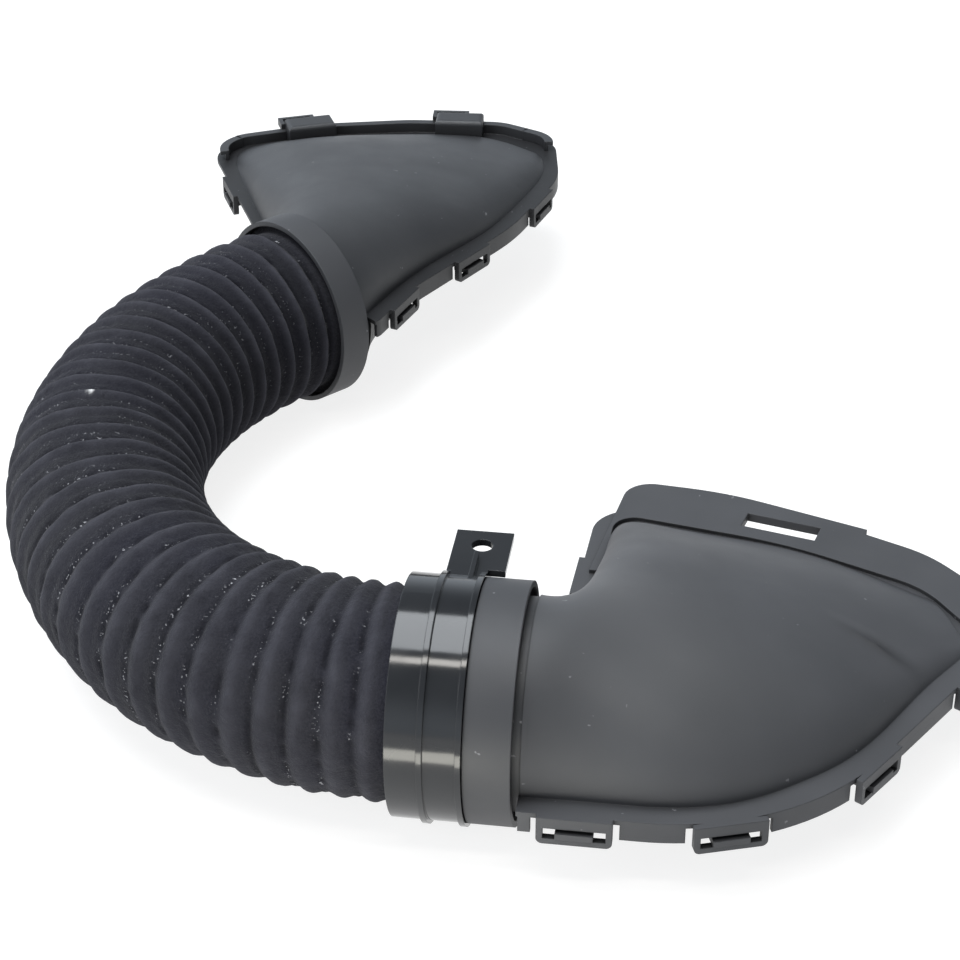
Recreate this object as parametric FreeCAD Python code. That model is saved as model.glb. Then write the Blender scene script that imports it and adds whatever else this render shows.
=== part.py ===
import FreeCAD, Part
import math
import os

V = FreeCAD.Vector

# Flexible hose
hose_crest_r = 46.0
hose_valley_r = 42.8
hose_bore_r = 40.2
rib_count = 30
first_rib = 7.5
near_pitch = 10.9
pitch_growth = 0.26
growing_ribs = 18
far_pitch = 15.1
lead_in = 4.0
bend_one_r = 155.6
bend_one_turn = 52.5
bend_two_r = 213.0
bend_two_turn = 78.1
far_cuff_r = 43.6

# Round joint at both ends: spigot, hose cuff and outer band
band_outer_r = 50.0
band_wall = 2.5
cuff_wall = 3.2
spigot_wall = 2.5
fit_clearance = 0.3
near_spigot_start = 9.0
far_spigot_start = 8.0
near_cuff_start = 3.0
far_cuff_inset = 5.0
cuff_end_gap = 2.5

# Mounting ring with bracket
ring_width = 30.5
ring_rib_at = 14.0
ring_rib_width = 2.4
ring_rib_height = 1.5
band_gap = 0.3
near_collar_width = 19.0
far_collar_width = 16.7
tab_width = 24.0
tab_left = 13.5
tab_thickness = 3.0
tab_top = 44.0
tab_end = 58.0
tab_hole_r = 4.5
tab_hole_behind = 47.0
tab_gusset_width = 2.0
tab_gusset_height = 3.0
tab_gusset_end = 38.0

# Duct shells
wall = 2.2
neck_shoulder = 0.8
arch_points = 9
dome_sink = 0.4
brim_thickness = 2.2
near_brim_top = -14.0
far_brim_top = 8.0
shell_clearance = 0.3
near_dome_start = 53.0
far_dome_start = 20.0
near_brim_width = 9.5
far_brim_width = 9.0
brim_start_gap = 2.5
skirt_height = 9.5
skirt_slit = 2.5
loop_length = 30.0
loop_bar = 2.6
loop_depth = 3.0
loop_out = 2.5
loop_drop = 12.5
loop_slot = 5.0
tang_width = 15.0
tang_reach = 1.0
tang_height = 3.0
pan_lip = 5.0
near_mouth = (134.0, 157.0, -15.4, 90.0)
near_mouth_drop = 17.5
far_mouth = (160.0, 153.0, -31.5, 98.0)
far_mouth_drop = 20.0
mouth_reach = 34.0
tongue_rise = 2.0
window_length = 35.0
window_width = 11.5
window_x = 148.8
window_y = 168.5
window_turn = -14.0
far_rim_height = 6.0
far_rim_depth = 4.0
far_rim_strip = 3.0
clip_length = 28.0
clip_front = 7.5
clip_back = 3.0
clip_rise = 1.5
clip_round = 4.0
hook_length = 22.0
hook_shift = 6.0
hook_reach = 8.0
hook_bar = 2.4
hook_rise = 2.0

band_inner_r = band_outer_r - band_wall
cuff_outer_r = band_inner_r - fit_clearance
cuff_inner_r = cuff_outer_r - cuff_wall
spigot_outer_r = cuff_inner_r - fit_clearance
spigot_inner_r = spigot_outer_r - spigot_wall
near_joint_end = ring_width + band_gap + near_collar_width

neck_r = spigot_outer_r + neck_shoulder
near_neck_half = math.sqrt(neck_r ** 2 - near_brim_top ** 2)
far_neck_half = math.sqrt(neck_r ** 2 - far_brim_top ** 2)

# Plan outlines of the domes at the brim: corner x, corner y, corner radius
near_plan = [
    (near_dome_start, -near_neck_half, 0.0),
    (156.2, -42.0, 99.0),
    (236.5, 91.2, 9.0),
    (213.0, 126.5, 45.0),
    (150.0, 154.5, 200.0),
    (72.0, 169.5, 11.0),
    (66.0, near_neck_half, 12.0),
    (near_dome_start, near_neck_half, 0.0),
]
far_plan = [
    (far_dome_start, -far_neck_half, 0.0),
    (58.0, -26.5, 80.0),
    (150.0, -4.0, 150.0),
    (213.0, 27.0, 60.0),
    (243.0, 62.0, 14.0),
    (235.0, 92.0, 20.0),
    (196.0, 131.0, 80.0),
    (150.0, 163.0, 100.0),
    (96.0, 184.0, 16.0),
    (34.0, far_neck_half, 30.0),
    (far_dome_start, far_neck_half, 0.0),
]

# Plan outline of the tongue at the near mouth
tongue_plan = [
    (64.0, 120.0, 0.0),
    (76.0, 200.0, 14.0),
    (122.0, 195.5, 150.0),
    (188.5, 171.5, 0.0),
    (187.5, 167.5, 0.0),
    (216.0, 154.0, 60.0),
    (243.0, 124.0, 22.0),
    (248.0, 88.0, 0.0),
    (225.0, 85.0, 0.0),
    (100.0, 120.0, 0.0),
]

# Places of the snap loops and clips along the edges, and the plan regions of the skirts and the far rim
near_loops = [(75.5, -52.0), (135.0, -44.0), (188.0, 2.0), (230.0, 70.0), (56.0, 118.0)]
far_loops = [(47.0, -40.0), (112.0, -22.0), (190.0, 5.0), (62.0, 140.0)]
far_clips = [(146.0, 167.0), (224.0, 115.0)]
near_skirt_region = [(53.0, -80.0), (320.0, -80.0), (320.0, 88.0), (225.0, 88.0), (150.0, 20.0), (53.0, -20.0)]
far_skirt_region = [(20.0, -100.0), (320.0, -100.0), (320.0, 58.0), (236.0, 54.0), (150.0, 24.0), (20.0, -20.0)]
far_rim_region = [(106.0, 150.0), (214.0, 74.0), (320.0, 84.0), (320.0, 280.0), (100.0, 280.0)]

# Duct sections: right end x, y, left end x, y, rise and depth from the brim, softness of the left slope
near_sections = [
    (72.0, -41.9, 65.0, 56.0, 57.0, 30.5, 0.0),
    (104.0, -41.5, 67.5, 94.0, 52.0, 30.0, 0.1),
    (135.0, -35.0, 69.5, 130.0, 44.5, 29.5, 0.3),
    (161.0, -18.5, 74.0, 161.0, 35.5, 29.0, 0.7),
    (184.0, 4.0, 106.0, 163.0, 26.0, 28.0, 1.0),
    (205.0, 39.0, 146.0, 155.5, 16.5, 26.0, 1.0),
    (221.0, 65.5, 186.0, 138.5, 8.0, 20.0, 1.0),
    (231.0, 82.0, 216.0, 121.5, 2.5, 12.0, 1.0),
]
far_sections = [
    (36.0, -36.5, 26.5, 50.0, 36.0, 48.0, 0.0),
    (70.0, -23.5, 41.0, 70.0, 34.0, 40.0, 0.0),
    (106.0, -14.7, 60.0, 110.0, 30.0, 35.0, 0.2),
    (140.0, -6.5, 80.0, 150.0, 25.5, 32.0, 0.5),
    (172.0, 6.8, 108.0, 179.0, 20.0, 30.0, 1.0),
    (198.0, 19.6, 147.0, 164.0, 14.0, 28.0, 1.0),
    (217.0, 31.6, 184.0, 139.5, 8.5, 24.0, 1.0),
    (231.0, 48.0, 217.0, 110.0, 3.5, 16.0, 1.0),
]


def rounded_wire(corners, z):
    """Closed wire of straight runs with tangent corner arcs at height z."""
    count = len(corners)
    edges = []
    runs = []
    for i in range(count):
        x, y, r = corners[i]
        here = V(x, y, z)
        back = V(corners[i - 1][0], corners[i - 1][1], z) - here
        ahead = V(corners[(i + 1) % count][0], corners[(i + 1) % count][1], z) - here
        back.normalize()
        ahead.normalize()
        if r == 0:
            runs.append((here, None, here))
            continue
        half = back.getAngle(ahead) / 2
        length = r / math.tan(half)
        middle = back + ahead
        middle.normalize()
        top = here + middle * (r / math.sin(half) - r)
        runs.append((here + back * length, top, here + ahead * length))
    for i in range(count):
        start, top, end = runs[i]
        if top is not None:
            edges.append(Part.Arc(start, top, end).toShape())
        following = runs[(i + 1) % count][0]
        if (following - end).Length > 1e-6:
            edges.append(Part.LineSegment(end, following).toShape())
    return Part.Wire(edges)


def grown(wire, distance):
    """Face inside a plan wire moved outwards by a distance, or inwards if it is negative."""
    face = Part.Face(wire)
    if distance == 0:
        return face
    return face.makeOffset2D(distance)


def slab(face, bottom, top):
    """Solid between two heights over a plan face drawn at height zero."""
    lifted = face.copy()
    lifted.translate(V(0, 0, bottom))
    return lifted.extrude(V(0, 0, top - bottom))


def tube_x(outer_r, inner_r, x0, x1):
    """Round tube along X."""
    solid = Part.makeCylinder(outer_r, x1 - x0, V(x0, 0, 0), V(1, 0, 0))
    return solid.cut(Part.makeCylinder(inner_r, x1 - x0, V(x0, 0, 0), V(1, 0, 0)))


def arch_wire(section, base, height, right_power, left_power, softness, shrink):
    """Closed section over a chord of the plan: an arch up or down, with its own shape at each end."""
    right = V(section[0], section[1], base)
    left = V(section[2], section[3], base)
    middle = (right + left) * 0.5
    half = (left - right) * 0.5
    half = half * ((half.Length - shrink) / half.Length)
    height = math.copysign(abs(height) - shrink, height)
    points = []
    for i in range(arch_points):
        angle = math.pi * i / (arch_points - 1)
        c = abs(math.cos(angle))
        s = abs(math.sin(angle))
        power = right_power if angle < math.pi / 2 else left_power
        across = c ** (2 / power)
        up = s ** (2 / power)
        if angle > math.pi / 2:
            up = (1 - softness) * up + softness * math.cos(math.pi / 2 * across)
        else:
            across = -across
        points.append(middle + half * across + V(0, 0, height * up))
    return closed_arch(points)


def neck_arch_wire(x, radius, base, side):
    """Closed section: the part of the round neck above the base plane, or below it for side -1."""
    low = math.asin(base / radius)
    sweep = side * math.pi - 2 * low
    points = []
    for i in range(arch_points):
        angle = low + sweep * i / (arch_points - 1)
        points.append(V(x, -radius * math.cos(angle), radius * math.sin(angle)))
    return closed_arch(points)


def closed_arch(points):
    """Wire of a spline arch and its straight base."""
    curve = Part.BSplineCurve()
    curve.interpolate(points)
    return Part.Wire([curve.toShape(), Part.LineSegment(points[-1], points[0]).toShape()])


def dome_body(duct, base, shrink):
    """Lofted dome from the round neck out to the mouth."""
    wires = [neck_arch_wire(duct["start"], neck_r - shrink, base, 1)]
    for section in duct["sections"]:
        height = section[4] + duct["brim_top"] - base
        wires.append(arch_wire(section, base, height, 2.1, 2.0, section[6], shrink))
    return Part.makeLoft(wires, True, False)


def belly_body(duct, front, base, shrink):
    """Lofted belly under the dome, with a steep end at the mouth."""
    wires = [neck_arch_wire(front, neck_r - shrink, base, -1)]
    for section in duct["sections"]:
        height = duct["brim_top"] - section[5] - base
        left_power = 2.0 + 1.5 * section[6]
        wires.append(arch_wire(section, base, height, 1.9, left_power, 0.0, shrink))
    return Part.makeLoft(wires, True, False)


def edge_frames(corners, inset, places):
    """Point, tangent and outward direction on the outline at lengths along it."""
    wire = grown(rounded_wire(corners, 0), inset).OuterWire
    frames = []
    for target_x, target_y in places:
        probe = Part.Vertex(V(target_x, target_y, 0))
        distance, pairs, info = wire.distToShape(probe)
        point = pairs[0][0]
        best = None
        for edge in wire.Edges:
            gap = edge.distToShape(Part.Vertex(point))[0]
            if best is None or gap < best[0]:
                best = (gap, edge)
        edge = best[1]
        tangent = edge.tangentAt(edge.Curve.parameter(point))
        tangent.normalize()
        outward = V(tangent.y, -tangent.x, 0)
        inside = grown(rounded_wire(corners, 0), 0).CenterOfMass
        if outward.dot(point - inside) < 0:
            outward = outward * -1
        frames.append((point, V(-outward.y, outward.x, 0), outward))
    return frames


def placed_box(frame, along, out, bottom, top):
    """Box set on an edge frame: ranges along the edge and outwards from it, and two heights."""
    point, tangent, outward = frame
    a = point + tangent * along[0] + outward * out[0]
    b = point + tangent * along[1] + outward * out[0]
    c = point + tangent * along[1] + outward * out[1]
    d = point + tangent * along[0] + outward * out[1]
    wire = Part.makePolygon([a, b, c, d, a])
    return slab(Part.Face(wire), bottom, top)


def snap_loop(frame, brim_top):
    """Closed loop that hangs from the edge of the brim."""
    half = loop_length / 2
    bottom = brim_top - loop_drop
    body = placed_box(frame, (-half, half), (loop_out - loop_depth, loop_out), bottom, brim_top)
    across = [e for e in body.Edges if abs(e.tangentAt(e.FirstParameter).dot(frame[2])) > 0.99]
    low = [e for e in across if e.CenterOfMass.z < bottom + 1]
    body = body.makeFillet(loop_bar, low)
    inner = half - loop_bar
    slot_bottom = bottom + loop_bar
    reach = (-2 * loop_depth, 2 * loop_depth)
    return body.cut(placed_box(frame, (-inner, inner), reach, slot_bottom, slot_bottom + loop_slot))


def tang(frame, brim_top, brim_width):
    """Catch of the lower shell that stands in a snap loop."""
    half = tang_width / 2
    bottom = brim_top - loop_drop + loop_bar + shell_clearance
    inner = pan_lip - brim_width - wall
    body = placed_box(frame, (-half, half), (inner, loop_out + tang_reach), bottom, bottom + tang_height)
    stem_top = brim_top - brim_thickness - shell_clearance
    stem_out = loop_out - loop_depth - shell_clearance
    stem = placed_box(frame, (-half, half), (inner, stem_out), bottom, stem_top)
    return body.fuse(stem)


def region(corners):
    """Plan face of a polygon."""
    points = [V(x, y, 0) for x, y in corners]
    return Part.Face(Part.makePolygon(points + [points[0]]))


def beyond(x):
    """Half plane of the plan past a distance along the neck."""
    return region([(x, -400), (600, -400), (600, 600), (x, 600)])


def upper_shell(duct):
    """Dome with its round neck, brim, skirt and snap loops, open below."""
    top = duct["brim_top"]
    base = top - brim_thickness
    outline = rounded_wire(duct["plan"], 0)
    land = beyond(duct["joint_end"] + brim_start_gap)
    brim = slab(grown(outline, duct["brim_width"]).common(land), base, top)
    for extra in duct["brim_extra"]:
        brim = brim.fuse(slab(extra, base, top))
    body = dome_body(duct, top - dome_sink, 0).fuse(brim)
    body = body.cut(dome_body(duct, base - 1, wall))
    neck_end = duct["start"] + wall
    body = body.fuse(tube_x(spigot_outer_r, spigot_inner_r, duct["spigot_start"], neck_end))
    foot = V(duct["spigot_start"], 0, 0)
    body = body.cut(Part.makeCylinder(spigot_inner_r, neck_end - duct["spigot_start"], foot, V(1, 0, 0)))
    loops = edge_frames(duct["plan"], duct["brim_width"], duct["loops"])
    skirt = grown(outline, duct["brim_width"]).cut(grown(outline, duct["brim_width"] - wall))
    skirt = skirt.common(land).common(region(duct["skirt_region"]))
    skirt = slab(skirt, top - skirt_height, base)
    reach = loop_length / 2 + skirt_slit
    for frame in loops:
        skirt = skirt.cut(placed_box(frame, (-reach, reach), (-20, 20), top - 2 * skirt_height, base))
    body = body.fuse(skirt)
    for frame in loops:
        body = body.fuse(snap_loop(frame, top))
    for piece in duct["upper_extra"]:
        body = body.fuse(piece)
    for tool in duct["upper_cuts"]:
        body = body.cut(tool)
    return body


def lower_shell(duct):
    """Belly under the dome with its mouth, lip and catches."""
    top = duct["brim_top"] - brim_thickness - shell_clearance
    front = duct["start"] + wall + shell_clearance
    outline = rounded_wire(duct["plan"], 0)
    lip = slab(grown(outline, pan_lip).common(beyond(front)), top - brim_thickness, top)
    hollow = belly_body(duct, front, top + 1, wall)
    body = belly_body(duct, front, top, 0).fuse(lip).cut(hollow)
    body = body.cut(Part.makeCylinder(spigot_inner_r, 3 * wall, V(front - wall, 0, 0), V(1, 0, 0)))
    mouth_low = duct["brim_top"] - duct["mouth_drop"]
    mouth_x, mouth_y, mouth_turn, mouth_length = duct["mouth"]
    mouth = Part.makeBox(mouth_length, mouth_reach, top - brim_thickness - mouth_low)
    mouth.translate(V(-mouth_length / 2, -mouth_reach / 2, mouth_low))
    mouth.rotate(V(0, 0, 0), V(0, 0, 1), mouth_turn)
    mouth.translate(V(mouth_x, mouth_y, 0))
    body = body.cut(mouth)
    for frame in edge_frames(duct["plan"], duct["brim_width"], duct["loops"]):
        body = body.fuse(tang(frame, duct["brim_top"], duct["brim_width"]))
    return body


def near_duct():
    """Sizes of the near duct, with its raised tongue and window."""
    base = near_brim_top - brim_thickness
    tongue = grown(rounded_wire(tongue_plan, 0), 0)
    raised = tongue.cut(grown(rounded_wire(near_plan, 0), 0))
    window = Part.makeBox(window_length, window_width, 6 * brim_thickness)
    window.translate(V(-window_length / 2, -window_width / 2, base - brim_thickness))
    window.rotate(V(0, 0, 0), V(0, 0, 1), window_turn)
    window.translate(V(window_x, window_y, 0))
    return {
        "plan": near_plan,
        "sections": near_sections,
        "start": near_dome_start,
        "joint_end": near_joint_end,
        "spigot_start": near_spigot_start,
        "brim_top": near_brim_top,
        "brim_width": near_brim_width,
        "brim_extra": [tongue],
        "loops": near_loops,
        "skirt_region": near_skirt_region,
        "mouth": near_mouth,
        "mouth_drop": near_mouth_drop,
        "upper_extra": [slab(raised, base, near_brim_top + tongue_rise)],
        "upper_cuts": [window],
    }


def clip(frame, rim_top):
    """Saddle over the mouth rim with a hook bar behind it."""
    half = clip_length / 2
    top = rim_top + clip_rise
    body = placed_box(frame, (-half, half), (-clip_front, clip_back), far_brim_top - dome_sink, top)
    along = [e for e in body.Edges if abs(e.tangentAt(e.FirstParameter).dot(frame[1])) > 0.99]
    inside = [e for e in along if (e.CenterOfMass - frame[0]).dot(frame[2]) < 0]
    body = body.makeFillet(clip_round, [e for e in inside if e.CenterOfMass.z > top - 1])
    start = hook_shift - hook_length / 2
    end = hook_shift + hook_length / 2
    out = (clip_back - hook_bar, clip_back + hook_reach)
    hook = placed_box(frame, (start, end), out, top - hook_bar, top + hook_rise)
    slot_out = (clip_back, clip_back + hook_reach - hook_bar)
    slot = placed_box(frame, (start + hook_bar, end - hook_bar), slot_out, top - 2 * hook_bar, top + 2 * hook_bar)
    return body.fuse(hook.cut(slot))


def far_duct():
    """Sizes of the far duct, with its raised mouth rim and clip saddles."""
    base = far_brim_top - brim_thickness
    outline = rounded_wire(far_plan, 0)
    mouth = region(far_rim_region)
    inside = grown(outline, far_rim_depth - wall)
    rim = grown(outline, far_rim_depth).cut(inside).common(mouth)
    strip = grown(outline, far_rim_depth + far_rim_strip).cut(inside).common(mouth)
    rim_top = far_brim_top + far_rim_height
    extra = [slab(rim, base, rim_top), slab(strip, rim_top - wall, rim_top)]
    for frame in edge_frames(far_plan, far_rim_depth, far_clips):
        extra.append(clip(frame, rim_top))
    return {
        "plan": far_plan,
        "sections": far_sections,
        "start": far_dome_start,
        "joint_end": far_collar_width,
        "spigot_start": far_spigot_start,
        "brim_top": far_brim_top,
        "brim_width": far_brim_width,
        "brim_extra": [],
        "loops": far_loops,
        "skirt_region": far_skirt_region,
        "mouth": far_mouth,
        "mouth_drop": far_mouth_drop,
        "upper_extra": extra,
        "upper_cuts": [],
    }


def mounting_ring():
    """Gloss ring with two ribs and a flat bracket with one hole."""
    ring = tube_x(band_outer_r, band_inner_r, 0, ring_width)
    rib_r = band_outer_r + ring_rib_height
    rib = tube_x(rib_r, band_inner_r, ring_rib_at - ring_rib_width / 2, ring_rib_at + ring_rib_width / 2)
    end_rib = tube_x(rib_r, band_inner_r, ring_width - ring_rib_width, ring_width)
    low = tab_top - tab_thickness
    width_on_ring = ring_width - tab_left
    plate = Part.makeBox(width_on_ring, tab_end, tab_thickness, V(tab_left, 0, low))
    wing_start = math.sqrt(band_outer_r ** 2 - low ** 2) + fit_clearance
    wing = Part.makeBox(tab_width, tab_end - wing_start, tab_thickness, V(tab_left, wing_start, low))
    gusset_x = tab_left + tab_width / 2 - tab_gusset_width
    gusset = Part.makeBox(tab_gusset_width, tab_gusset_end, tab_gusset_height, V(gusset_x, 0, tab_top))
    plate = plate.fuse([wing, gusset])
    inside_r = band_outer_r - band_wall / 2
    plate = plate.cut(Part.makeCylinder(inside_r, 2 * ring_width, V(-ring_width / 2, 0, 0), V(1, 0, 0)))
    hole_x = tab_left + tab_width / 2
    hole_foot = V(hole_x, tab_hole_behind, tab_top - 2 * tab_thickness)
    hole = Part.makeCylinder(tab_hole_r, 3 * tab_thickness, hole_foot)
    return ring.fuse([rib, end_rib, plate]).cut(hole).removeSplitter()


def hose_station(distance):
    """Point and heading of the hose's centre line at a distance from the ring's edge."""
    first = math.radians(bend_one_turn)
    second = math.radians(bend_two_turn)
    heading = math.pi
    point = V(0, 0, 0)
    lengths = [lead_in, bend_one_r * first, bend_two_r * second]
    if distance <= lengths[0]:
        return point + V(-distance, 0, 0), heading
    point = point + V(-lead_in, 0, 0)
    distance = distance - lead_in
    for radius, length in ((bend_one_r, lengths[1]), (bend_two_r, lengths[2])):
        turn = min(distance, length) / radius
        centre = point + V(math.sin(heading), -math.cos(heading), 0) * radius
        heading = heading - turn
        point = centre - V(math.sin(heading), -math.cos(heading), 0) * radius
        if distance <= length:
            return point, heading
        distance = distance - length
    return point + V(math.cos(heading), math.sin(heading), 0) * distance, heading


def hose_ring(distance, radius):
    """Circle across the hose."""
    point, heading = hose_station(distance)
    return Part.Wire(Part.makeCircle(radius, point, V(math.cos(heading), math.sin(heading), 0)))


def rib_places():
    """Distances of the ribs along the hose, closer together at the near end."""
    place = first_rib
    places = []
    for i in range(rib_count):
        places.append(place)
        place = place + (near_pitch + pitch_growth * (i + 0.5) if i < growing_ribs else far_pitch)
    return places


def hose(length):
    """Textile bellows with ribs along its bend, and a smooth cuff at each end."""
    places = rib_places()
    rings = [hose_ring(0, hose_valley_r)]
    for i in range(rib_count):
        rings.append(hose_ring(places[i], hose_crest_r))
        if i < rib_count - 1:
            rings.append(hose_ring((places[i] + places[i + 1]) / 2, hose_valley_r))
    rings.append(hose_ring(places[-1] + far_pitch / 2, hose_valley_r))
    rings.append(hose_ring(length, far_cuff_r))
    body = Part.makeLoft(rings, True, True)
    bore_rings = []
    steps = 14
    for i in range(steps + 1):
        bore_rings.append(hose_ring(length * i / steps, hose_bore_r))
    body = body.cut(Part.makeLoft(bore_rings, True, False))
    near_end = near_joint_end - cuff_end_gap
    cuff = tube_x(cuff_outer_r, cuff_inner_r, near_cuff_start, near_end)
    shoulder = tube_x(cuff_outer_r, hose_bore_r, near_cuff_start, near_spigot_start - fit_clearance)
    link = tube_x(hose_valley_r, hose_bore_r, 0, near_cuff_start + fit_clearance)
    far_end = far_collar_width - cuff_end_gap
    far_cuff = tube_x(cuff_outer_r, cuff_inner_r, far_cuff_inset, far_end)
    far_shoulder = tube_x(cuff_outer_r, hose_bore_r, far_cuff_inset, far_spigot_start - fit_clearance)
    far_link = tube_x(far_cuff_r, hose_bore_r, 0, far_cuff_inset + fit_clearance)
    pieces = [cuff, shoulder, link]
    for piece in (far_cuff, far_shoulder, far_link):
        pieces.append(at_far_end(piece, length))
    return body.fuse(pieces).removeSplitter()


def at_far_end(shape, length):
    """Moves a shape from the neck's own frame to the far end of the hose."""
    point, heading = hose_station(length)
    moved = shape.copy()
    moved.rotate(V(0, 0, 0), V(0, 0, 1), math.degrees(heading))
    moved.translate(point)
    return moved


def main():
    os.makedirs("parts", exist_ok=True)
    length = lead_in + bend_one_r * math.radians(bend_one_turn) + bend_two_r * math.radians(bend_two_turn)
    near = near_duct()
    far = far_duct()
    shapes = {
        "mounting_ring": mounting_ring(),
        "near_collar": tube_x(band_outer_r, band_inner_r, ring_width + band_gap, near_joint_end),
        "hose": hose(length),
        "far_collar": at_far_end(tube_x(band_outer_r, band_inner_r, 0, far_collar_width), length),
        "near_upper_shell": upper_shell(near),
        "near_lower_shell": lower_shell(near),
        "far_upper_shell": at_far_end(upper_shell(far), length),
        "far_lower_shell": at_far_end(lower_shell(far), length),
    }
    box = Part.makeCompound(list(shapes.values())).optimalBoundingBox(False, False)
    for name, shape in shapes.items():
        shape.translate(V(-box.Center.x, -box.Center.y, -box.ZMin))
        print(name, len(shape.Solids), shape.isValid(), round(shape.Volume, 1))
        shape.exportStep("parts/" + name + ".step")
    print("moved by", -box.Center.x, -box.Center.y, -box.ZMin, "size", box.XLength, box.YLength, box.ZLength)


main()
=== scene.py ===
import math

import bmesh
import bpy
from mathutils import Matrix, Vector, noise


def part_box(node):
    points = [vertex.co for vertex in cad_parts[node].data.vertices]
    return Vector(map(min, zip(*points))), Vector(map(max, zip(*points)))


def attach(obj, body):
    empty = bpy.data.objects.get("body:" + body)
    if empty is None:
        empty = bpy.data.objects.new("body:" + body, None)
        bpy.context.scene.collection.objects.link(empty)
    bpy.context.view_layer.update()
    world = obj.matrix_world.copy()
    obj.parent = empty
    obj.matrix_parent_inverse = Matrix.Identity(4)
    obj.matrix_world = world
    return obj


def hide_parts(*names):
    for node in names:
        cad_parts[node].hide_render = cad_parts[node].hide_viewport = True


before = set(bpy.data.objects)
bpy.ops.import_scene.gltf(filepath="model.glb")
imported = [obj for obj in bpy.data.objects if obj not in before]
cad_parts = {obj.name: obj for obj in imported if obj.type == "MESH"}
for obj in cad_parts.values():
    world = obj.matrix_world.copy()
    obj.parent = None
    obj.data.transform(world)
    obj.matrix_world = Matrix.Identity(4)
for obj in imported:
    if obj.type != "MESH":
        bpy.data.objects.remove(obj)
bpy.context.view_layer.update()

MM = 0.001

# The hose starts at the left edge of the mounting ring, on the ring's axis
RING_WIDTH = 30.8 * MM
collar_low, collar_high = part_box("near_collar")
hose_start = (collar_low + collar_high) / 2
hose_start.x = collar_low.x - RING_WIDTH

# Hose path: a short straight lead, then two bends to the right, each with its radius and turn
LEAD = 4.0 * MM
BENDS = ((155.6 * MM, math.radians(52.5)), (213.0 * MM, math.radians(78.1)))
CREST_R = 46.0 * MM
VALLEY_R = 42.7 * MM
BORE_R = 40.2 * MM
FAR_END_R = 43.6 * MM
LEAST_WALL = 0.4 * MM
HOSE_STEPS = 460
BORE_STEPS = 90
HOSE_SIDES = 160

# Cuffs that sit on the spigots inside the ring and the collars
CUFF_R = 47.2 * MM
CUFF_BORE_R = 44.0 * MM
NEAR_CUFF_START = 3.0 * MM
NEAR_CUFF_LIP = 8.7 * MM
NEAR_CUFF_END = 47.3 * MM
FAR_CUFF_START = 5.0 * MM
FAR_CUFF_LIP = 7.7 * MM
FAR_CUFF_END = 14.2 * MM

# Ribs stand closer together at the near end
FIRST_RIB = 7.5 * MM
RIB_COUNT = 31
NEAR_PITCH = 10.9 * MM
PITCH_GROWTH = 0.26 * MM
GROWING_RIBS = 18
FAR_PITCH = 15.1 * MM

# Round the bend the outer ends of the ribs lean towards the far duct
LEAN = 11.0 * MM
LEAN_MIDDLE = 240.0 * MM
LEAN_REACH = 90.0 * MM

# The sleeve is slack at the near end and grows taut from here on
TAUT_MIDDLE = 190.0 * MM
TAUT_REACH = 60.0 * MM

# Section of the sleeve over one rib, in millimetres from it: rib, groove, slack cloth and stitches
RIB_WANDER = 0.8
RIB_HALF_WIDTH = 3.3
TAUT_RIB_LOSS = 0.7
GROOVE_AT = 4.2
GROOVE_WIDTH = 1.2
GROOVE_DEPTH = 0.95
SLACK_FROM = 4.8
SLACK_RISE = 0.9
STITCH_AT = 4.9
STITCH_WIDTH = 0.9
CREASE_DEPTH = 0.6
CREASE_LENGTH = 11.0 * MM

# Unevenness of the sleeve: how finely it varies around the hose, and its step from rib to rib
WANDER_FINENESS = 1.7
WANDER_STEP = 5.3
PUCKER_FINENESS = 7.0
PUCKER_STEP = 9.1
CREASE_FINENESS = 4.2
SMALL_CREASE_FINENESS = 11.0
SMALL_CREASE_STEP = 2.1

# A knot in the sleeve's thread: distance along the hose, angle from its inner side and size
KNOT_AT = 247.5 * MM
KNOT_ANGLE = math.radians(95.0)
KNOT_LENGTH = 1.9 * MM
KNOT_WIDTH = 1.3 * MM

# Marks on the near duct: middle, turn and reach of its lighter patches of painted highlight and of a shallow
# crease
PAINTED_LIGHT_PATCHES = (
    ((0.095, -0.262, 0.078), 0.0, (0.095, 0.085, 0.080)),
    ((0.062, -0.228, 0.089), 0.0, (0.045, 0.050, 0.050)),
)
CREASE = ((0.1755, -0.2010, 0.0510), math.radians(-25.0), (0.030, 0.0085, 0.05))
CREASE_RISE = 2.2 * MM

# Clips over the rim of the far duct: middle on the rim and turn
CLIPS = (((-0.16798, 0.28733), math.radians(24.4)), ((-0.07669, 0.30671), math.radians(4.4)))
SADDLE_LENGTH = 29.0 * MM
SADDLE_FRONT = 13.0 * MM
SADDLE_BACK = 3.4 * MM
SADDLE_FOOT = 59.5 * MM
SADDLE_TOP = 71.5 * MM
SADDLE_ROUND = 2.6 * MM

# Rim ends at the far mouth's corners: corner's middle, inner radius, first angle, turn and straight lead
RIM_ENDS = (
    ((-0.1917, 0.2514), 17.8 * MM, math.radians(138.0), math.radians(66.0), 1.0 * MM),
    ((-0.0371, 0.2817), 15.8 * MM, math.radians(64.4), math.radians(-55.6), 7.6 * MM),
)
RIM_FOOT = 59.3 * MM
RIM_TOP = 65.5 * MM
RIM_WALL = 2.2 * MM
RIM_WIDTH = 5.2 * MM
RIM_STEPS = 18
RIM_WELD = 0.001 * MM

# The far duct is darker from just above its brim downwards
FAR_BRIM_TOP = 59.8 * MM

# Tones on the plastic: painted highlight, a darker tone below the far duct's brim, painted shade in corners
# and along the crease, and pale scuffs
PAINTED_LIGHT_TONE = (0.100, 0.100, 0.102)
BRIM_TONE = (0.009, 0.009, 0.010)
CORNER_SHADE_TONE = (0.007, 0.007, 0.008)
CREASE_SHADE_TONE = (0.012, 0.012, 0.014)
SCUFF_TONE = (0.24, 0.24, 0.25)

# Tones of the polished ring
RING_TONES = ((0.012, 0.013, 0.015), (0.016, 0.017, 0.019))
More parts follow.
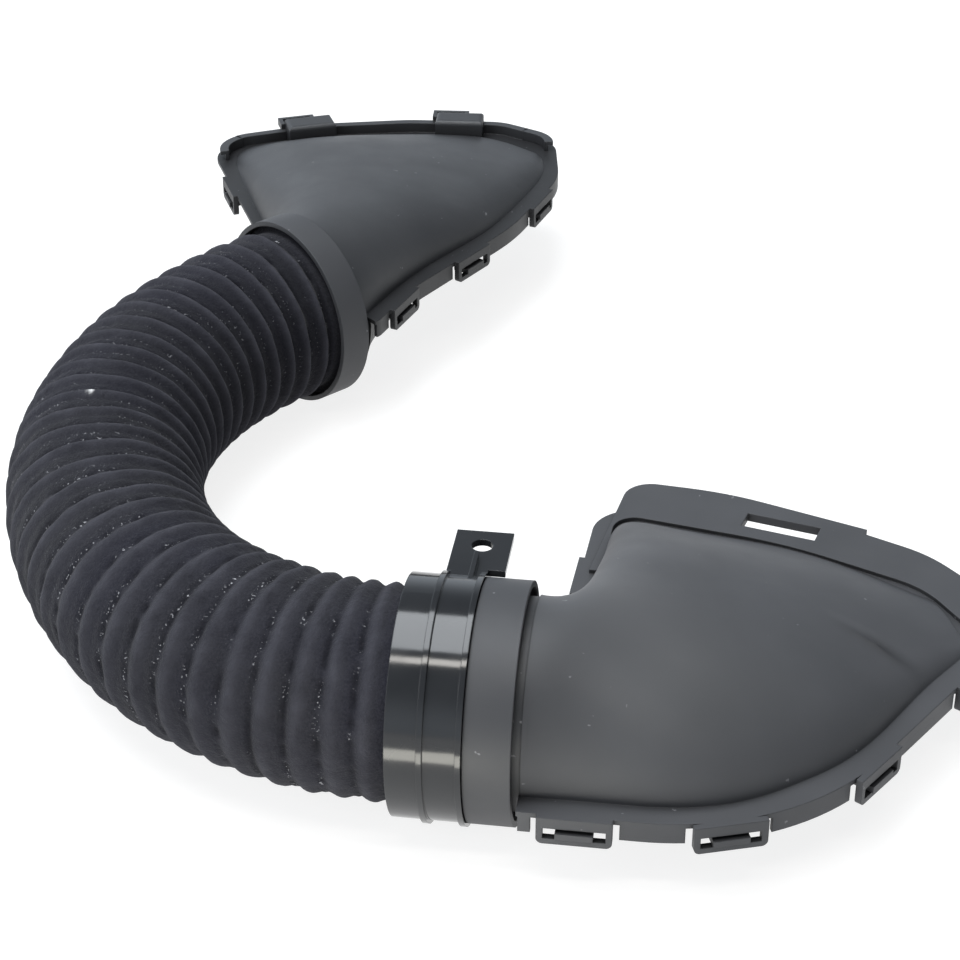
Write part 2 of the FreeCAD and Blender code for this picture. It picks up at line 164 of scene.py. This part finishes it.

# Tones of the sleeve, with painted sheen for the crests and painted shade for the folds
DYE_TONES = ((0.0120, 0.0120, 0.0180), (0.0140, 0.0140, 0.0170))
CREST_SHEEN_TONE = (0.047, 0.047, 0.057)
FIBRE_TONE = (0.042, 0.042, 0.050)
FOLD_SHADE_TONE = (0.0035, 0.0035, 0.0055)
STITCH_TONE = (0.36, 0.36, 0.38)
KNOT_TONE = (0.85, 0.85, 0.84)

# Camera: place from the start of the hose, tilt and turn, with its lens and sensor in millimetres
CAMERA_PLACE = Vector((136.07, -746.93, 559.2)) * MM
CAMERA_TILT = math.radians(58.9)
CAMERA_TURN = math.radians(8.0)
CAMERA_LENS = 86.25
CAMERA_SENSOR = 36.0
CAMERA_SIGHT = 20.0

# Floor: its own tone, its glow and the glow that only the eye and reflections add
FLOOR_HALF = 6.0
FLOOR_TONE = (0.30, 0.30, 0.298, 1.0)
FLOOR_GLOW = 0.60
FLOOR_SEEN_GLOW = 0.22

# Room: start and end of the fade up the walls and of the fade to the right, each with the light that is left
WALL_FADE = (0.15, 0.68, 0.30)
SIDE_FADE = (-0.10, 0.75, 0.35)
ROOM_COLOUR = (0.83, 0.91, 1.0, 1.0)

# Lamps: name, place, aim, size, power and colour
MIDDLE = (0.0, 0.0, 0.05)
LAMPS = (
    ("ceiling panel", (-0.60, 0.0, 2.0), (-0.60, 0.0, 0.0), (1.5, 1.42), 48.0, (0.92, 0.96, 1.0)),
    ("window", (-1.6, 1.9, 1.5), MIDDLE, (0.9, 0.9), 4.0, (0.78, 0.89, 1.0)),
    ("ceiling strip", (0.1, -1.05, 2.0), MIDDLE, (1.5, 0.2), 12.0, (1.0, 0.97, 0.92)),
    ("soft fill", (-1.4, -1.5, 1.4), MIDDLE, (1.2, 1.2), 12.0, (0.97, 0.98, 1.0)),
    ("low strip", (-0.005, -0.425, 0.012), (0.0, -0.3, 0.055), (0.14, 0.03), 0.10, (1.0, 0.98, 0.88)),
)


def new_piece(name, bm, material):
    """Makes an object of a finished shape and gives it its material."""
    mesh = bpy.data.meshes.new(name)
    bm.to_mesh(mesh)
    bm.free()
    mesh.materials.append(material)
    piece = bpy.data.objects.new(name, mesh)
    bpy.context.scene.collection.objects.link(piece)
    return piece


def bell(offset, width):
    """Share that falls from 1 in the middle to about a third at the width."""
    return math.exp(-((offset / width) ** 2))


# Materials

class Nodes:
    """The node tree of a material or a world, with short calls to add and join nodes."""

    def __init__(self, owner, shader="Principled BSDF"):
        owner.use_nodes = True
        self.owner = owner
        self.tree = owner.node_tree
        self.shader = self.tree.nodes[shader]

    def add(self, kind, **settings):
        node = self.tree.nodes.new(kind)
        for key, value in settings.items():
            setattr(node, key, value)
        return node

    def join(self, source, target):
        self.tree.links.new(source, target)

    def place(self):
        return self.add("ShaderNodeTexCoord").outputs["Object"]

    def along(self, axis, where):
        node = self.add("ShaderNodeSeparateXYZ")
        self.join(where, node.inputs["Vector"])
        return node.outputs[axis]

    def noise(self, scale, detail=2.0, roughness=0.5):
        node = self.add("ShaderNodeTexNoise")
        node.inputs["Scale"].default_value = scale
        node.inputs["Detail"].default_value = detail
        node.inputs["Roughness"].default_value = roughness
        self.join(self.place(), node.inputs["Vector"])
        return node.outputs["Fac"]

    def ramp(self, source, *stops):
        node = self.add("ShaderNodeValToRGB")
        for element, (at, value) in zip(node.color_ramp.elements, stops):
            element.position = at
            if isinstance(value, (int, float)):
                value = (value, value, value)
            element.color = (*value, 1.0)
        self.join(source, node.inputs["Fac"])
        return node.outputs["Color"]

    def fade(self, source, start, end, left):
        """Falls smoothly from 1 at the start to what is left at the end."""
        node = self.add("ShaderNodeMapRange", interpolation_type="SMOOTHSTEP")
        for key, value in (("From Min", start), ("From Max", end), ("To Min", 1.0), ("To Max", left)):
            node.inputs[key].default_value = value
        self.join(source, node.inputs["Value"])
        return node.outputs["Result"]

    def mix(self, factor, a, b):
        node = self.add("ShaderNodeMix", data_type="RGBA")
        self.join(factor, node.inputs[0])
        self.join(a, node.inputs[6])
        node.inputs[7].default_value = (*b, 1.0)
        return node.outputs[2]

    def math(self, kind, a, b):
        node = self.add("ShaderNodeMath", operation=kind)
        self.join(a, node.inputs[0])
        if isinstance(b, float):
            node.inputs[1].default_value = b
        else:
            self.join(b, node.inputs[1])
        return node.outputs[0]

    def spot(self, middle, turn, reach):
        """Share that falls from 1 at a spot's middle to 0 at its edge."""
        there = self.add("ShaderNodeMapping", vector_type="TEXTURE")
        there.inputs["Location"].default_value = middle
        there.inputs["Rotation"].default_value = (0.0, 0.0, turn)
        there.inputs["Scale"].default_value = reach
        self.join(self.place(), there.inputs["Vector"])
        ball = self.add("ShaderNodeTexGradient", gradient_type="QUADRATIC_SPHERE")
        self.join(there.outputs["Vector"], ball.inputs["Vector"])
        return ball.outputs["Fac"]

    def corners(self, reach):
        """Share of open sky within a short reach, low in corners and slots."""
        node = self.add("ShaderNodeAmbientOcclusion", samples=6)
        node.inputs["Distance"].default_value = reach
        return node.outputs["AO"]

    def rounded_edges(self, radius):
        node = self.add("ShaderNodeBevel", samples=4)
        node.inputs["Radius"].default_value = radius
        return node.outputs["Normal"]

    def bump(self, height, strength, distance, over=None):
        node = self.add("ShaderNodeBump")
        node.inputs["Strength"].default_value = strength
        node.inputs["Distance"].default_value = distance
        self.join(height, node.inputs["Height"])
        if over:
            self.join(over, node.inputs["Normal"])
        self.join(node.outputs["Normal"], self.shader.inputs["Normal"])
        return node.outputs["Normal"]


def duct_plastic(name, tones, roughness, corner_shade_reach, painted_light_patches=(), crease=None, brim_top=None):
    """Dark grey moulded plastic with a fine grain, cloudy worn patches, a few pale scuffs and painted shade
    in its corners.
    """
    n = Nodes(bpy.data.materials.new(name))
    tone = n.ramp(n.noise(scale=22.0, detail=3.0), (0.3, tones[0]), (0.7, tones[1]))
    # Painted highlight: lighter patches on the near dome
    for patch in painted_light_patches:
        tone = n.mix(n.math("MULTIPLY", n.spot(*patch), 0.75), tone, PAINTED_LIGHT_TONE)
    if brim_top:
        brim = n.math("LESS_THAN", n.along("Z", n.place()), brim_top)
        tone = n.mix(n.math("MULTIPLY", brim, 0.85), tone, BRIM_TONE)
    # Painted shade: darker in corners and slots, where little of the sky is open
    tone = n.mix(n.ramp(n.corners(corner_shade_reach), (0.30, 1.0), (0.85, 0.0)), tone, CORNER_SHADE_TONE)
    # Painted shade along the crease, besides its bump
    if crease:
        tone = n.mix(n.math("MULTIPLY", n.spot(*crease), 0.9), tone, CREASE_SHADE_TONE)
    scuffs = n.ramp(n.noise(scale=230.0), (0.745, 0.0), (0.775, 1.0))
    tone = n.mix(n.math("MULTIPLY", scuffs, 0.6), tone, SCUFF_TONE)
    n.join(tone, n.shader.inputs["Base Color"])
    haze = n.ramp(n.noise(scale=35.0, detail=3.0), (0.3, roughness[0]), (0.7, roughness[1]))
    n.join(haze, n.shader.inputs["Roughness"])
    surface = n.rounded_edges(0.8 * MM)
    if crease:
        surface = n.bump(n.spot(*crease), strength=1.0, distance=CREASE_RISE, over=surface)
    n.bump(n.noise(scale=2600.0), strength=0.12, distance=0.3 * MM, over=surface)
    return n.owner


def ring_plastic():
    """Black polished plastic of the mounting ring, a little uneven where it was moulded."""
    n = Nodes(bpy.data.materials.new("polished ring plastic"))
    tone = n.ramp(n.noise(scale=40.0), (0.3, RING_TONES[0]), (0.7, RING_TONES[1]))
    n.join(tone, n.shader.inputs["Base Color"])
    haze = n.ramp(n.noise(scale=60.0, detail=3.0), (0.3, 0.10), (0.7, 0.15))
    n.join(haze, n.shader.inputs["Roughness"])
    n.bump(n.noise(scale=90.0), strength=0.05, distance=0.6 * MM, over=n.rounded_edges(0.6 * MM))
    return n.owner


def hose_fabric():
    """Black knitted sleeve: pale on its crests from painted sheen, dark in its folds from painted shade, with
    light stitches by each rib.
    """
    n = Nodes(bpy.data.materials.new("black hose fabric"))
    crest, fold_shade, stitch, knot = (
        n.add("ShaderNodeAttribute", attribute_name=name).outputs["Fac"]
        for name in ("crest", "fold_shade", "stitch", "knot")
    )
    tone = n.ramp(n.noise(scale=17.0), (0.35, DYE_TONES[0]), (0.65, DYE_TONES[1]))
    # Painted sheen: paler crests, broken into patches
    crest_sheen_patches = n.ramp(n.noise(scale=70.0, detail=3.0, roughness=0.6), (0.30, 0.35), (0.68, 1.0))
    tone = n.mix(n.math("MULTIPLY", crest, crest_sheen_patches), tone, CREST_SHEEN_TONE)
    fibre = n.ramp(n.noise(scale=950.0, detail=4.0, roughness=0.7), (0.38, 0.0), (0.78, 0.55))
    tone = n.mix(fibre, tone, FIBRE_TONE)
    # Painted shade in the folds: the grooves and the inner side of the bend
    tone = n.mix(n.math("MULTIPLY", fold_shade, 0.85), tone, FOLD_SHADE_TONE)
    dots = n.ramp(n.noise(scale=880.0, detail=1.0), (0.64, 0.0), (0.70, 1.0))
    runs = n.ramp(n.noise(scale=52.0), (0.44, 0.0), (0.58, 1.0))
    dots = n.math("MULTIPLY", n.math("MULTIPLY", dots, runs), stitch)
    tone = n.mix(dots, tone, STITCH_TONE)
    tone = n.mix(knot, tone, KNOT_TONE)
    n.join(tone, n.shader.inputs["Base Color"])
    n.shader.inputs["Roughness"].default_value = 0.95
    n.shader.inputs["Specular IOR Level"].default_value = 0.10
    n.shader.inputs["Sheen Weight"].default_value = 0.06
    n.shader.inputs["Sheen Roughness"].default_value = 0.5
    puckers = n.bump(n.noise(scale=240.0, detail=3.0, roughness=0.6), strength=0.55, distance=1.6 * MM)
    knit = n.noise(scale=1300.0, detail=3.0, roughness=0.65)
    n.bump(knit, strength=0.6, distance=0.7 * MM, over=puckers)
    return n.owner


# Hose

def rib_places():
    """Distances along the hose of its ribs."""
    at = FIRST_RIB
    places = []
    for i in range(RIB_COUNT):
        places.append(at)
        at += NEAR_PITCH + PITCH_GROWTH * (i + 0.5) if i < GROWING_RIBS else FAR_PITCH
    return places


def hose_length():
    """Length of the hose's centre line."""
    return LEAD + sum(radius * turn for radius, turn in BENDS)


def along_hose(distance):
    """Turned and moved frame at a distance along the hose: X runs on, Y is its left side, Z is up."""
    at = Matrix.Translation(hose_start) @ Matrix.Rotation(math.pi, 4, "Z")
    step = min(distance, LEAD)
    at = at @ Matrix.Translation((step, 0.0, 0.0))
    rest = distance - step
    for radius, turn in BENDS:
        angle = min(rest / radius, turn)
        centre = Matrix.Translation((0.0, -radius, 0.0))
        at = at @ centre @ Matrix.Rotation(-angle, 4, "Z") @ centre.inverted()
        rest -= angle * radius
    return at @ Matrix.Translation((rest, 0.0, 0.0))


def uneven(around, fineness, along):
    """Smooth unevenness of the sleeve, from -1 to 1."""
    return noise.noise(around * fineness + Vector((0.0, 0.0, along)))


def sleeve(distance, angle, ribs):
    """Sleeve at a distance and an angle from the inner side: radius, then crest, painted shade of the folds
    and stitch shares.
    """
    outer = max(0.0, -math.cos(angle))
    inner = max(0.0, math.cos(angle))
    distance -= LEAN * outer * bell(distance - LEAN_MIDDLE, LEAN_REACH)
    rib = min(range(len(ribs)), key=lambda i: abs(ribs[i] - distance))
    around = Vector((math.cos(angle), math.sin(angle), 0.0))
    wander = uneven(around, WANDER_FINENESS, WANDER_STEP * rib)
    off = (distance - ribs[rib]) / MM - RIB_WANDER * wander
    taut = 0.5 + 0.5 * math.tanh((distance - TAUT_MIDDLE) / TAUT_REACH)
    crest = bell(off, RIB_HALF_WIDTH - TAUT_RIB_LOSS * taut)
    pucker = uneven(around, PUCKER_FINENESS, PUCKER_STEP * rib)
    groove = bell(off - GROOVE_AT, GROOVE_WIDTH) * min(1.0, max(0.0, 0.60 + 1.3 * pucker))
    slack = SLACK_RISE * (1.0 - math.exp(-((off / SLACK_FROM) ** 4))) * (1.0 - 1.7 * inner)
    along = distance / CREASE_LENGTH
    creases = uneven(around, CREASE_FINENESS, along)
    creases += 0.5 * uneven(around, SMALL_CREASE_FINENESS, SMALL_CREASE_STEP * along)
    radius = VALLEY_R + (CREST_R - VALLEY_R) * crest * (0.70 + 0.30 * taut)
    radius += (slack - GROOVE_DEPTH * groove + CREASE_DEPTH * creases * (1.0 - 0.5 * crest)) * MM
    # Painted shade in the groove and on the inner side of the bend, away from the crest
    fold_shade = min(1.0, 0.85 * groove + inner ** 0.6 * (0.45 + 0.22 * taut) * (1.0 - crest))
    stitch = bell(abs(off) - STITCH_AT, STITCH_WIDTH) * (1.0 - 0.75 * inner)
    if off <= 0:
        stitch *= 0.9 * taut
    return max(radius, BORE_R + LEAST_WALL), crest, fold_shade, stitch


def hose_outline(sleeve_end, length):
    """Half section of the hose with a cuff inside the band at each end: distance and radius in turn."""
    outer = [(-NEAR_CUFF_END, CUFF_R), (-NEAR_CUFF_START, CUFF_R), (-NEAR_CUFF_START, VALLEY_R)]
    for i in range(HOSE_STEPS + 1):
        at = length * i / HOSE_STEPS
        outer.append((at, VALLEY_R if at < sleeve_end else FAR_END_R))
    outer += [
        (length + FAR_CUFF_START, FAR_END_R),
        (length + FAR_CUFF_START, CUFF_R),
        (length + FAR_CUFF_END, CUFF_R),
    ]
    inner = [
        (length + FAR_CUFF_END, CUFF_BORE_R),
        (length + FAR_CUFF_LIP, CUFF_BORE_R),
        (length + FAR_CUFF_LIP, BORE_R),
    ]
    for i in range(BORE_STEPS, -1, -1):
        inner.append((length * i / BORE_STEPS, BORE_R))
    inner += [(-NEAR_CUFF_LIP, BORE_R), (-NEAR_CUFF_LIP, CUFF_BORE_R), (-NEAR_CUFF_END, CUFF_BORE_R)]
    return outer + inner


def fabric_hose():
    """The ribbed sleeve: its half section is spun into a straight tube that is then bent along the path."""
    ribs = rib_places()
    sleeve_end = ribs[-1] + FAR_PITCH / 2
    bm = bmesh.new()
    outline = [bm.verts.new((at, 0.0, radius)) for at, radius in hose_outline(sleeve_end, hose_length())]
    edges = [bm.edges.new((outline[i - 1], outline[i])) for i in range(len(outline))]
    bmesh.ops.spin(
        bm,
        geom=outline + edges,
        cent=(0.0, 0.0, 0.0),
        axis=(1.0, 0.0, 0.0),
        angle=2 * math.pi,
        steps=HOSE_SIDES,
        use_merge=True,
    )
    bmesh.ops.recalc_face_normals(bm, faces=bm.faces)
    # Shares per vertex: crest, painted shade of the folds, stitch and knot
    layers = [bm.verts.layers.float.new(name) for name in ("crest", "fold_shade", "stitch", "knot")]
    stations = {}
    for vert in bm.verts:
        at = round(vert.co.x, 7)
        if at not in stations:
            stations[at] = along_hose(at)
        across = Vector((0.0, vert.co.y, vert.co.z))
        if 0.0 <= at <= sleeve_end and across.length > BORE_R + MM:
            angle = math.atan2(across.z, -across.y)
            radius, *shares = sleeve(at, angle, ribs)
            knot = math.hypot((at - KNOT_AT) / KNOT_LENGTH, (angle - KNOT_ANGLE) * CREST_R / KNOT_WIDTH)
            for layer, share in zip(layers, (*shares, math.exp(-(knot ** 4)))):
                vert[layer] = share
            across *= radius / across.length
        vert.co = stations[at] @ across
    for face in bm.faces:
        face.smooth = True
    piece = new_piece("fabric_hose", bm, hose_fabric())
    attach(piece, "root")
    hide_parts("hose")


# Clips and rim ends of the far duct

def saddle(bm):
    """Block over the rim with its upper edges rounded."""
    block = bmesh.ops.create_cube(bm, size=1.0)["verts"]
    depth = SADDLE_FRONT + SADDLE_BACK
    bmesh.ops.scale(bm, vec=(SADDLE_LENGTH, depth, SADDLE_TOP - SADDLE_FOOT), verts=block)
    middle = (0.0, SADDLE_BACK - depth / 2, (SADDLE_TOP + SADDLE_FOOT) / 2)
    bmesh.ops.translate(bm, vec=middle, verts=block)
    upper = [edge for edge in bm.edges if all(vert.co.z > middle[2] for vert in edge.verts)]
    bmesh.ops.bevel(
        bm, geom=upper, offset=SADDLE_ROUND, segments=4, profile=0.5, affect="EDGES", material=-1
    )


def rim_end(bm, inner, turn, lead):
    """End of the rim: its section runs straight, then round a corner of the mouth."""
    ahead = Vector((0.0, math.copysign(lead, turn), 0.0))
    section = (
        (inner, RIM_FOOT),
        (inner, RIM_TOP),
        (inner + RIM_WIDTH, RIM_TOP),
        (inner + RIM_WIDTH, RIM_TOP - RIM_WALL),
        (inner + RIM_WALL, RIM_TOP - RIM_WALL),
        (inner + RIM_WALL, RIM_FOOT),
    )
    points = [bm.verts.new((radius, -ahead.y, height)) for radius, height in section]
    loop = [bm.edges.new((points[i - 1], points[i])) for i in range(len(points))]
    run = bmesh.ops.extrude_edge_only(bm, edges=loop)["geom"]
    moved = [part for part in run if isinstance(part, bmesh.types.BMVert)]
    bmesh.ops.translate(bm, vec=ahead, verts=moved)
    edges = [edge for edge in bm.edges if all(vert in moved for vert in edge.verts)]
    bmesh.ops.spin(
        bm,
        geom=moved + edges,
        cent=(0.0, 0.0, 0.0),
        axis=(0.0, 0.0, 1.0),
        angle=turn,
        steps=RIM_STEPS,
        use_merge=False,
    )
    bmesh.ops.remove_doubles(bm, verts=bm.verts, dist=RIM_WELD)
    bmesh.ops.holes_fill(bm, edges=bm.edges, sides=0)


def far_piece(name, bm, middle, turn, plastic):
    """Sets a shape on the far duct's rim and makes it a piece of that duct."""
    place = Matrix.Translation((*middle, 0.0)) @ Matrix.Rotation(turn, 4, "Z")
    bmesh.ops.transform(bm, matrix=place, verts=bm.verts)
    bmesh.ops.recalc_face_normals(bm, faces=bm.faces)
    piece = new_piece(name, bm, plastic)
    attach(piece, "root")


def far_clips(plastic):
    """Saddle of each clip."""
    for number, (middle, turn) in enumerate(CLIPS, 1):
        bm = bmesh.new()
        saddle(bm)
        far_piece(f"far_clip_{number}", bm, middle, turn, plastic)


def far_rim_ends(plastic):
    """Both ends of the rim."""
    for number, (middle, inner, first, turn, lead) in enumerate(RIM_ENDS, 1):
        bm = bmesh.new()
        rim_end(bm, inner, turn, lead)
        far_piece(f"far_rim_end_{number}", bm, middle, first, plastic)


def moulded_pieces():
    """Gives the moulded pieces their plastics and adds the clips and rim ends."""
    collar = duct_plastic(
        "matt collar plastic",
        tones=((0.037, 0.038, 0.042), (0.046, 0.047, 0.051)),
        roughness=(0.52, 0.60),
        corner_shade_reach=6.0 * MM,
    )
    near = duct_plastic(
        "satin near duct plastic",
        tones=((0.045, 0.046, 0.050), (0.057, 0.058, 0.063)),
        roughness=(0.50, 0.58),
        corner_shade_reach=7.0 * MM,
        painted_light_patches=PAINTED_LIGHT_PATCHES,
        crease=CREASE,
    )
    far = duct_plastic(
        "satin far duct plastic",
        tones=((0.030, 0.031, 0.034), (0.038, 0.039, 0.042)),
        roughness=(0.46, 0.54),
        corner_shade_reach=14.0 * MM,
        brim_top=FAR_BRIM_TOP,
    )
    plastics = {
        "mounting_ring": ring_plastic(),
        "near_collar": collar,
        "far_collar": collar,
        "near_upper_shell": near,
        "near_lower_shell": near,
        "far_upper_shell": far,
        "far_lower_shell": far,
    }
    for name, plastic in plastics.items():
        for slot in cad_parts[name].material_slots:
            slot.material = plastic
    far_clips(far)
    far_rim_ends(far)


# Setting

def photo_camera():
    """The camera stands in front of the near duct and looks down on the pipe."""
    lens = bpy.data.cameras.new("photo camera")
    lens.sensor_width = CAMERA_SENSOR
    lens.lens = CAMERA_LENS
    lens.clip_end = CAMERA_SIGHT
    camera = bpy.data.objects.new("photo camera", lens)
    camera.location = hose_start + CAMERA_PLACE
    camera.rotation_euler = (CAMERA_TILT, 0.0, CAMERA_TURN)
    bpy.context.scene.collection.objects.link(camera)
    bpy.context.scene.camera = camera


def floor():
    """A wide white floor, lit enough that only soft shadows show on it."""
    bm = bmesh.new()
    bmesh.ops.create_grid(bm, x_segments=1, y_segments=1, size=FLOOR_HALF)
    n = Nodes(bpy.data.materials.new("white floor"))
    n.shader.inputs["Base Color"].default_value = FLOOR_TONE
    n.shader.inputs["Roughness"].default_value = 0.9
    n.shader.inputs["Specular IOR Level"].default_value = 0.0
    n.shader.inputs["Emission Color"].default_value = (1.0, 1.0, 1.0, 1.0)
    ray = n.add("ShaderNodeLightPath").outputs
    seen = n.math("MAXIMUM", ray["Is Camera Ray"], ray["Is Glossy Ray"])
    seen = n.math("MAXIMUM", seen, ray["Is Transmission Ray"])
    glow = n.math("ADD", n.math("MULTIPLY", seen, FLOOR_SEEN_GLOW), FLOOR_GLOW)
    n.join(glow, n.shader.inputs["Emission Strength"])
    new_piece("floor", bm, n.owner)


def room():
    """A pale room whose light fades up the walls and to the right."""
    n = Nodes(bpy.data.worlds.new("white room"), "Background")
    way = n.add("ShaderNodeTexCoord").outputs["Generated"]
    walls = n.fade(n.along("Z", way), *WALL_FADE)
    sides = n.fade(n.along("X", way), *SIDE_FADE)
    n.shader.inputs["Color"].default_value = ROOM_COLOUR
    n.join(n.math("MULTIPLY", walls, sides), n.shader.inputs["Strength"])
    bpy.context.scene.world = n.owner


def lamps():
    """A panel and a strip overhead, a cool window behind, a soft fill and a low strip in front."""
    for name, place, aim, size, power, colour in LAMPS:
        lamp = bpy.data.lights.new(name, "AREA")
        lamp.shape = "RECTANGLE"
        lamp.size, lamp.size_y = size
        lamp.energy = power
        lamp.color = colour
        piece = bpy.data.objects.new(name, lamp)
        piece.location = place
        piece.rotation_euler = (Vector(aim) - Vector(place)).to_track_quat("-Z", "Y").to_euler()
        piece.visible_camera = name != "low strip"
        bpy.context.scene.collection.objects.link(piece)


bpy.context.scene.view_settings.view_transform = "Standard"
photo_camera()
floor()
room()
lamps()
moulded_pieces()
fabric_hose()
